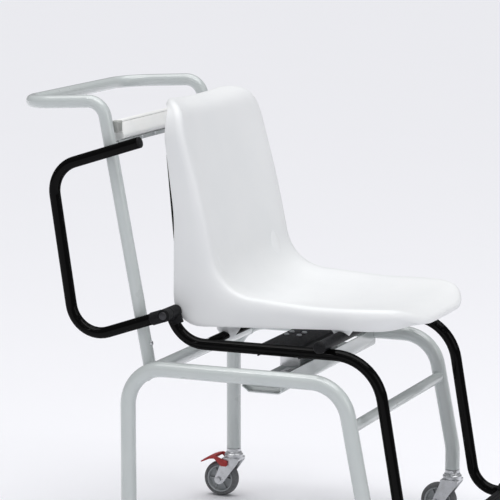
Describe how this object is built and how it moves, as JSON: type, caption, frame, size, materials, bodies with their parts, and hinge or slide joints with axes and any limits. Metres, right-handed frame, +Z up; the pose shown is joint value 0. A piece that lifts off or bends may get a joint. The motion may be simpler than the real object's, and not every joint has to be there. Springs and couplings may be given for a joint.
{
  "type": "chair scale",
  "caption": "Electronic chair scale: a moulded seat on a weighed tube frame, carried by a load cell on a rolling base frame with a push handle, display and folding armrests.",
  "frame": {"origin": "on the floor, under the middle of the whole object's bounding box", "axes": "+Z up, +X towards the sitter's front, +Y towards the sitter's left"},
  "size_m": [0.9754, 0.569, 0.8972],
  "materials": {
    "side_frame_right": "gloss powder coat",
    "side_frame_left": "gloss powder coat",
    "rear_cross_tube": "gloss powder coat",
    "front_cross_bar": "gloss powder coat",
    "cell_channel": "gloss powder coat",
    "push_handle": "gloss powder coat",
    "display_bracket": "gloss powder coat",
    "weighed_tube_right": "gloss",
    "weighed_tube_left": "gloss",
    "arm_stop_tube": "gloss",
    "rear_seat_tube": "gloss",
    "armrest_right": "gloss",
    "armrest_left": "gloss",
    "carrier_channel": "satin",
    "hinge_block_right": "fine texture",
    "hinge_block_left": "fine texture",
    "arm_knuckle_right": "fine texture",
    "arm_knuckle_left": "fine texture",
    "stop_cap_right": "fine texture",
    "stop_cap_left": "fine texture",
    "foot_tube_cap_right": "fine texture",
    "foot_tube_cap_left": "fine texture",
    "arm_cap_right": "fine texture",
    "arm_cap_left": "fine texture",
    "foot_plate_right": "fine texture",
    "foot_plate_left": "fine texture",
    "load_cell": "machined",
    "cell_spacer_top": "machined",
    "cell_spacer_low": "machined",
    "overload_stop": "machined",
    "arm_pin_right": "machined",
    "arm_pin_left": "machined",
    "seat_shell": "satin moulded",
    "display_back": "satin moulded",
    "display_bezel": "satin moulded",
    "battery_cover": "satin moulded",
    "display_window": "clear over a dark panel",
    "display_board": "circuit board",
    "key_power": "soft touch",
    "key_hold": "soft touch",
    "key_tare": "soft touch",
    "fork_rear_right": "zinc plated",
    "axle_rear_right": "zinc plated",
    "tyre_rear_right": "solid",
    "wheel_rear_right": "moulded",
    "brake_pedal_rear_right": "moulded",
    "fork_rear_left": "zinc plated",
    "axle_rear_left": "zinc plated",
    "tyre_rear_left": "solid",
    "wheel_rear_left": "moulded",
    "brake_pedal_rear_left": "moulded",
    "fork_front_right": "zinc plated",
    "axle_front_right": "zinc plated",
    "tyre_front_right": "solid",
    "wheel_front_right": "moulded",
    "fork_front_left": "zinc plated",
    "axle_front_left": "zinc plated",
    "tyre_front_left": "solid",
    "wheel_front_left": "moulded"
  },
  "bodies": {
    "frame": {"side_frame_right": "side_frame_right", "side_frame_left": "side_frame_left", "rear_cross_tube": "rear_cross_tube", "front_cross_bar": "front_cross_bar", "cell_channel": "cell_channel", "push_handle": "push_handle", "display_bracket": "display_bracket", "weighed_tube_right": "weighed_tube_right", "weighed_tube_left": "weighed_tube_left", "arm_stop_tube": "arm_stop_tube", "rear_seat_tube": "rear_seat_tube", "carrier_channel": "carrier_channel", "hinge_block_right": "hinge_block_right", "hinge_block_left": "hinge_block_left", "stop_cap_right": "stop_cap_right", "stop_cap_left": "stop_cap_left", "foot_tube_cap_right": "foot_tube_cap_right", "foot_tube_cap_left": "foot_tube_cap_left", "load_cell": "load_cell", "cell_spacer_top": "cell_spacer_top", "cell_spacer_low": "cell_spacer_low", "overload_stop": "overload_stop", "seat_shell": "seat_shell", "display_back": "display_back", "display_bezel": "display_bezel", "display_window": "display_window", "display_board": "display_board"},
    "arm_right": {"armrest_right": "armrest_right", "arm_knuckle_right": "arm_knuckle_right", "arm_cap_right": "arm_cap_right", "arm_pin_right": "arm_pin_right"},
    "arm_left": {"armrest_left": "armrest_left", "arm_knuckle_left": "arm_knuckle_left", "arm_cap_left": "arm_cap_left", "arm_pin_left": "arm_pin_left"},
    "foot_right": {"foot_plate_right": "foot_plate_right"},
    "foot_left": {"foot_plate_left": "foot_plate_left"},
    "key_power": {"key_power": "key_power"},
    "key_hold": {"key_hold": "key_hold"},
    "key_tare": {"key_tare": "key_tare"},
    "cover": {"battery_cover": "battery_cover"},
    "castor_rear_right": {"fork_rear_right": "fork_rear_right"},
    "wheel_rear_right": {"tyre_rear_right": "tyre_rear_right", "wheel_rear_right": "wheel_rear_right", "axle_rear_right": "axle_rear_right"},
    "brake_rear_right": {"brake_pedal_rear_right": "brake_pedal_rear_right"},
    "castor_rear_left": {"fork_rear_left": "fork_rear_left"},
    "wheel_rear_left": {"tyre_rear_left": "tyre_rear_left", "wheel_rear_left": "wheel_rear_left", "axle_rear_left": "axle_rear_left"},
    "brake_rear_left": {"brake_pedal_rear_left": "brake_pedal_rear_left"},
    "castor_front_right": {"fork_front_right": "fork_front_right"},
    "wheel_front_right": {"tyre_front_right": "tyre_front_right", "wheel_front_right": "wheel_front_right", "axle_front_right": "axle_front_right"},
    "castor_front_left": {"fork_front_left": "fork_front_left"},
    "wheel_front_left": {"tyre_front_left": "tyre_front_left", "wheel_front_left": "wheel_front_left", "axle_front_left": "axle_front_left"}
  },
  "joints": [
    {"name": "arm_right_hinge", "type": "hinge", "parent": "frame", "child": "arm_right", "pos_m": [-0.1597, -0.257, 0.4855], "axis": [0, 1, 0], "range_deg": [0, 102]},
    {"name": "arm_left_hinge", "type": "hinge", "parent": "frame", "child": "arm_left", "pos_m": [-0.1597, 0.257, 0.4855], "axis": [0, 1, 0], "range_deg": [-3.5, 98.5]},
    {"name": "foot_right_hinge", "type": "hinge", "parent": "frame", "child": "foot_right", "pos_m": [0.3618, -0.2175, 0.08], "axis": [1, 0, 0], "range_deg": [0, 95]},
    {"name": "foot_left_hinge", "type": "hinge", "parent": "frame", "child": "foot_left", "pos_m": [0.3618, 0.2175, 0.08], "axis": [-1, 0, 0], "range_deg": [0, 95]},
    {"name": "key_power_press", "type": "slide", "parent": "frame", "child": "key_power", "axis": [0.5, 0, -0.866], "range_m": [0, 0.0012], "stiffness_N_per_m": 250},
    {"name": "key_hold_press", "type": "slide", "parent": "frame", "child": "key_hold", "axis": [0.5, 0, -0.866], "range_m": [0, 0.0012], "stiffness_N_per_m": 250},
    {"name": "key_tare_press", "type": "slide", "parent": "frame", "child": "key_tare", "axis": [0.5, 0, -0.866], "range_m": [0, 0.0012], "stiffness_N_per_m": 250},
    {"name": "battery_cover_slide", "type": "slide", "parent": "frame", "child": "cover", "axis": [0, -1, 0], "range_m": [0, 0.03]},
    {"name": "castor_rear_right_swivel", "type": "hinge", "parent": "frame", "child": "castor_rear_right", "pos_m": [-0.2382, -0.26, 0.0855], "axis": [0, 0, 1], "continuous": true},
    {"name": "wheel_rear_right_spin", "type": "hinge", "parent": "castor_rear_right", "child": "wheel_rear_right", "pos_m": [-0.2662, -0.26, 0.0375], "axis": [0, 1, 0], "continuous": true},
    {"name": "brake_rear_right_press", "type": "hinge", "parent": "castor_rear_right", "child": "brake_rear_right", "pos_m": [-0.2502, -0.26, 0.074], "axis": [0, -1, 0], "range_deg": [0, 12]},
    {"name": "castor_rear_left_swivel", "type": "hinge", "parent": "frame", "child": "castor_rear_left", "pos_m": [-0.2382, 0.26, 0.0855], "axis": [0, 0, 1], "continuous": true},
    {"name": "wheel_rear_left_spin", "type": "hinge", "parent": "castor_rear_left", "child": "wheel_rear_left", "pos_m": [-0.2662, 0.26, 0.0375], "axis": [0, 1, 0], "continuous": true},
    {"name": "brake_rear_left_press", "type": "hinge", "parent": "castor_rear_left", "child": "brake_rear_left", "pos_m": [-0.2502, 0.26, 0.074], "axis": [0, -1, 0], "range_deg": [0, 12]},
    {"name": "castor_front_right_swivel", "type": "hinge", "parent": "frame", "child": "castor_front_right", "pos_m": [0.24771, -0.26, 0.0855], "axis": [0, 0, 1], "continuous": true},
    {"name": "wheel_front_right_spin", "type": "hinge", "parent": "castor_front_right", "child": "wheel_front_right", "pos_m": [0.21971, -0.26, 0.0375], "axis": [0, 1, 0], "continuous": true},
    {"name": "castor_front_left_swivel", "type": "hinge", "parent": "frame", "child": "castor_front_left", "pos_m": [0.24771, 0.26, 0.0855], "axis": [0, 0, 1], "continuous": true},
    {"name": "wheel_front_left_spin", "type": "hinge", "parent": "castor_front_left", "child": "wheel_front_left", "pos_m": [0.21971, 0.26, 0.0375], "axis": [0, 1, 0], "continuous": true}
  ]
}
